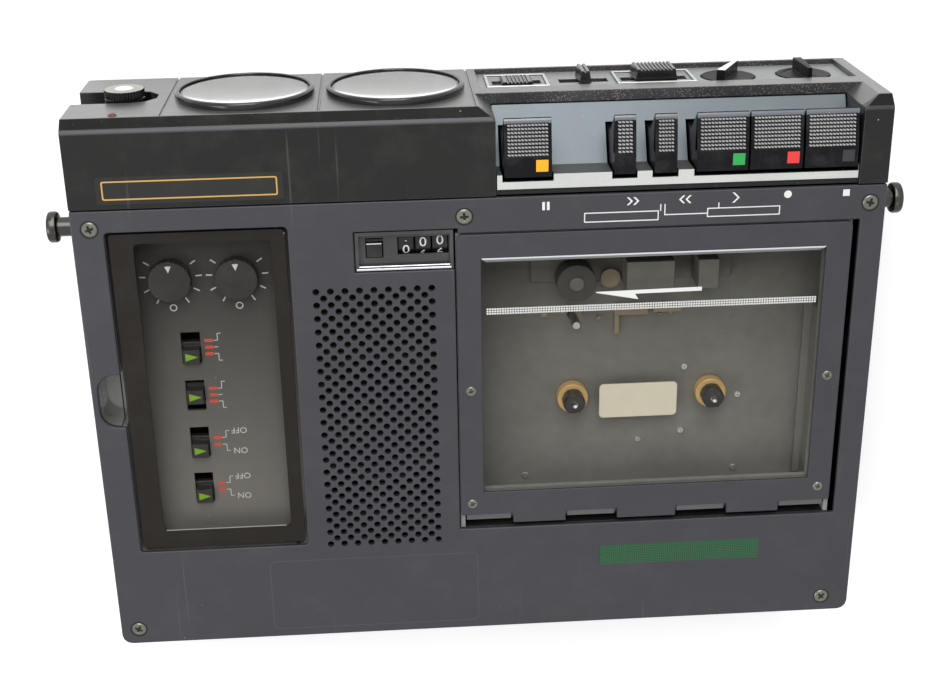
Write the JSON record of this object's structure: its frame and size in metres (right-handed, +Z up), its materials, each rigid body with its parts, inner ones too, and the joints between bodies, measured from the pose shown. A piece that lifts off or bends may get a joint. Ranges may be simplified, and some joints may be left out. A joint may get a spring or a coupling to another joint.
{
  "type": "portable cassette recorder",
  "caption": "Flat portable cassette recorder with piano keys, round level meters, a smoked control lid, a perforated speaker field and a hinged cassette door.",
  "frame": {"origin": "centre of the outer box on the plane under the feet", "axes": "+X to the right seen from the keys, +Y to the rear, +Z up out of the top plate"},
  "size_m": [0.2466, 0.1678, 0.0512],
  "materials": {
    "slate_paint": "satin slate-grey paint",
    "black_plastic": "satin black moulding",
    "bay_sheet": "blue-grey satin",
    "key_black": "semi-gloss black",
    "smoked_pane": "smoked clear acrylic",
    "meter_lens": "clear acrylic",
    "meter_plastic": "matt moulding",
    "painted_alloy": "dark painted alloy",
    "steel": "bright",
    "dark_chrome": "dark chrome",
    "rubber": "plain",
    "spindle_plastic": "copper-toned collar under a black cap",
    "board": "bare"
  },
  "bodies": {
    "case": {"bottom_case": "black_plastic", "top_plate": "slate_paint", "speaker_grille": "slate_paint", "front_bar": "black_plastic", "key_bay_trim": "bay_sheet", "key_shaft": "steel", "front_panel": "black_plastic", "control_tray": "bay_sheet", "meter_body_right": "meter_plastic", "meter_body_left": "meter_plastic", "meter_glass_right": "meter_lens", "meter_glass_left": "meter_lens", "door_hinge": "steel", "deck_chassis": "black_plastic", "motor": "steel", "drive_belt": "rubber", "lid_tray": "black_plastic", "counter_housing": "black_plastic", "speaker": "steel", "circuit_board": "board", "mic_sockets": "steel", "line_sockets": "steel", "strap_stud_right": "dark_chrome", "strap_stud_left": "dark_chrome"},
    "battery_door": {"battery_door": "black_plastic"},
    "cassette_door": {"door_cover": "slate_paint", "door_frame": "black_plastic", "door_window": "smoked_pane"},
    "stop_key": {"stop_key": "key_black"},
    "record_key": {"record_key": "key_black"},
    "play_key": {"play_key": "key_black"},
    "review_key": {"review_key": "key_black"},
    "cue_key": {"cue_key": "key_black"},
    "pause_key": {"pause_key": "key_black"},
    "slide_knob_right": {"slide_knob_right": "key_black"},
    "slide_knob_middle": {"slide_knob_middle": "key_black"},
    "slide_knob_left": {"slide_knob_left": "key_black"},
    "dial_right": {"dial_right": "key_black"},
    "dial_left": {"dial_left": "key_black"},
    "meter_needle_right": {"meter_needle_right": "painted_alloy"},
    "meter_needle_left": {"meter_needle_left": "painted_alloy"},
    "level_knob_inner": {"level_knob_inner": "key_black"},
    "level_knob_outer": {"level_knob_outer": "key_black"},
    "takeup_spindle": {"takeup_spindle": "spindle_plastic"},
    "supply_spindle": {"supply_spindle": "spindle_plastic"},
    "head_plate": {"head_plate": "painted_alloy"},
    "pinch_roller": {"pinch_roller": "rubber"},
    "capstan_flywheel": {"capstan_flywheel": "steel"},
    "motor_pulley": {"motor_pulley": "steel"},
    "smoked_lid": {"smoked_lid": "smoked_pane"},
    "bias_knob": {"bias_knob": "key_black"},
    "pitch_knob": {"pitch_knob": "key_black"},
    "noise_switch": {"noise_switch": "key_black"},
    "tape_switch": {"tape_switch": "key_black"},
    "filter_switch": {"filter_switch": "key_black"},
    "memory_switch": {"memory_switch": "key_black"},
    "counter_wheel_units": {"counter_wheel_units": "key_black"},
    "counter_wheel_tens": {"counter_wheel_tens": "key_black"},
    "counter_wheel_hundreds": {"counter_wheel_hundreds": "key_black"},
    "reset_button": {"reset_button": "key_black"}
  },
  "joints": [
    {"name": "stop_key_press", "type": "hinge", "parent": "case", "child": "stop_key", "pos_m": [-0.0973, -0.05125, 0.0382], "axis": [1, 0, 0], "range_deg": [0, 8], "stiffness_Nm_per_rad": 0.3, "springref_deg": -11.46},
    {"name": "record_key_press", "type": "hinge", "parent": "case", "child": "record_key", "pos_m": [-0.0818, -0.05125, 0.0382], "axis": [1, 0, 0], "range_deg": [0, 8], "stiffness_Nm_per_rad": 0.3, "springref_deg": -11.46},
    {"name": "play_key_press", "type": "hinge", "parent": "case", "child": "play_key", "pos_m": [-0.06665, -0.05125, 0.0382], "axis": [1, 0, 0], "range_deg": [0, 8], "stiffness_Nm_per_rad": 0.3, "springref_deg": -11.46},
    {"name": "review_key_press", "type": "hinge", "parent": "case", "child": "review_key", "pos_m": [-0.0508, -0.05125, 0.0382], "axis": [1, 0, 0], "range_deg": [0, 8], "stiffness_Nm_per_rad": 0.3, "springref_deg": -11.46},
    {"name": "cue_key_press", "type": "hinge", "parent": "case", "child": "cue_key", "pos_m": [-0.0394, -0.05125, 0.0382], "axis": [1, 0, 0], "range_deg": [0, 8], "stiffness_Nm_per_rad": 0.3, "springref_deg": -11.46},
    {"name": "pause_key_press", "type": "hinge", "parent": "case", "child": "pause_key", "pos_m": [-0.0124, -0.05125, 0.0382], "axis": [1, 0, 0], "range_deg": [0, 8], "stiffness_Nm_per_rad": 0.3, "springref_deg": -11.46},
    {"name": "cassette_door_swing", "type": "hinge", "parent": "case", "child": "cassette_door", "pos_m": [-0.04865, 0.04535, 0.0486], "axis": [-1, 0, 0], "range_deg": [0, 70]},
    {"name": "lid_swing", "type": "hinge", "parent": "case", "child": "smoked_lid", "pos_m": [0.0578, 0.00085, 0.0486], "axis": [0, -1, 0], "range_deg": [0, 95]},
    {"name": "battery_door_slide", "type": "slide", "parent": "case", "child": "battery_door", "axis": [0, 1, 0], "range_m": [0, 0.036]},
    {"name": "level_knob_inner_turn", "type": "hinge", "parent": "case", "child": "level_knob_inner", "pos_m": [0.0999, -0.07675, 0.0242], "axis": [0, 1, 0], "range_deg": [-150, 150]},
    {"name": "level_knob_outer_turn", "type": "hinge", "parent": "case", "child": "level_knob_outer", "pos_m": [0.0999, -0.07275, 0.0242], "axis": [0, 1, 0], "range_deg": [-150, 150]},
    {"name": "slide_knob_right_move", "type": "slide", "parent": "case", "child": "slide_knob_right", "axis": [1, 0, 0], "range_m": [-0.0023, 0.0023]},
    {"name": "slide_knob_middle_move", "type": "slide", "parent": "case", "child": "slide_knob_middle", "axis": [1, 0, 0], "range_m": [-0.005, 0.005]},
    {"name": "slide_knob_left_move", "type": "slide", "parent": "case", "child": "slide_knob_left", "axis": [1, 0, 0], "range_m": [-0.0033, 0.0033]},
    {"name": "dial_right_turn", "type": "hinge", "parent": "case", "child": "dial_right", "pos_m": [-0.0755, -0.07875, 0.0148], "axis": [0, 1, 0], "range_deg": [0, 300]},
    {"name": "dial_left_turn", "type": "hinge", "parent": "case", "child": "dial_left", "pos_m": [-0.098, -0.07875, 0.0148], "axis": [0, 1, 0], "range_deg": [-140, 140]},
    {"name": "meter_needle_right_swing", "type": "hinge", "parent": "case", "child": "meter_needle_right", "pos_m": [0.06585, -0.07675, 0.0157], "axis": [0, 1, 0], "range_deg": [0, 90], "stiffness_Nm_per_rad": 0.00002, "springref_deg": -17.19},
    {"name": "meter_needle_left_swing", "type": "hinge", "parent": "case", "child": "meter_needle_left", "pos_m": [0.02315, -0.07675, 0.0157], "axis": [0, 1, 0], "range_deg": [0, 90], "stiffness_Nm_per_rad": 0.00002, "springref_deg": -17.19},
    {"name": "takeup_spindle_spin", "type": "hinge", "parent": "case", "child": "takeup_spindle", "pos_m": [-0.0274, 0.01245, 0.0392], "axis": [0, 0, 1], "continuous": true},
    {"name": "supply_spindle_spin", "type": "hinge", "parent": "case", "child": "supply_spindle", "pos_m": [-0.0699, 0.01245, 0.0392], "axis": [0, 0, 1], "continuous": true},
    {"name": "capstan_spin", "type": "hinge", "parent": "case", "child": "capstan_flywheel", "pos_m": [-0.02745, -0.01375, 0.0312], "axis": [0, 0, 1], "continuous": true},
    {"name": "motor_pulley_spin", "type": "hinge", "parent": "case", "child": "motor_pulley", "pos_m": [-0.08505, -0.01675, 0.0248], "axis": [0, 0, 1], "continuous": true},
    {"name": "head_plate_slide", "type": "slide", "parent": "case", "child": "head_plate", "axis": [0, 1, 0], "range_m": [0, 0.0057]},
    {"name": "pinch_roller_spin", "type": "hinge", "parent": "head_plate", "child": "pinch_roller", "pos_m": [-0.02745, -0.02675, 0.0392], "axis": [0, 0, 1], "continuous": true},
    {"name": "bias_knob_turn", "type": "hinge", "parent": "case", "child": "bias_knob", "pos_m": [0.0893, -0.03335, 0.0452], "axis": [0, 0, 1], "range_deg": [-150, 150]},
    {"name": "pitch_knob_turn", "type": "hinge", "parent": "case", "child": "pitch_knob", "pos_m": [0.0704, -0.03335, 0.0452], "axis": [0, 0, 1], "range_deg": [-150, 150]},
    {"name": "noise_switch_move", "type": "slide", "parent": "case", "child": "noise_switch", "axis": [0, 1, 0], "range_m": [-0.0048, 0]},
    {"name": "tape_switch_move", "type": "slide", "parent": "case", "child": "tape_switch", "axis": [0, 1, 0], "range_m": [-0.0024, 0.0024]},
    {"name": "filter_switch_move", "type": "slide", "parent": "case", "child": "filter_switch", "axis": [0, 1, 0], "range_m": [-0.0048, 0]},
    {"name": "memory_switch_move", "type": "slide", "parent": "case", "child": "memory_switch", "axis": [0, 1, 0], "range_m": [-0.0048, 0]},
    {"name": "counter_wheel_hundreds_turn", "type": "hinge", "parent": "case", "child": "counter_wheel_hundreds", "pos_m": [0.01235, -0.04235, 0.0418], "axis": [1, 0, 0], "continuous": true},
    {"name": "counter_wheel_tens_turn", "type": "hinge", "parent": "case", "child": "counter_wheel_tens", "pos_m": [0.01715, -0.04235, 0.0418], "axis": [1, 0, 0], "continuous": true},
    {"name": "counter_wheel_units_turn", "type": "hinge", "parent": "case", "child": "counter_wheel_units", "pos_m": [0.02195, -0.04235, 0.0418], "axis": [1, 0, 0], "continuous": true},
    {"name": "reset_button_press", "type": "slide", "parent": "case", "child": "reset_button", "axis": [0, 0, -1], "range_m": [0, 0.0014], "stiffness_N_per_m": 300, "springref_m": -0.002}
  ],
  "couplings": [
    {"joint": "head_plate_slide", "follows": "play_key_press", "m_per_rad": 0.04},
    {"joint": "pinch_roller_spin", "follows": "capstan_spin", "ratio": -0.2241},
    {"joint": "motor_pulley_spin", "follows": "capstan_spin", "ratio": 3.75},
    {"joint": "counter_wheel_units_turn", "follows": "takeup_spindle_spin", "ratio": 0.5},
    {"joint": "counter_wheel_tens_turn", "follows": "takeup_spindle_spin", "ratio": 0.05},
    {"joint": "counter_wheel_hundreds_turn", "follows": "takeup_spindle_spin", "ratio": 0.005}
  ]
}
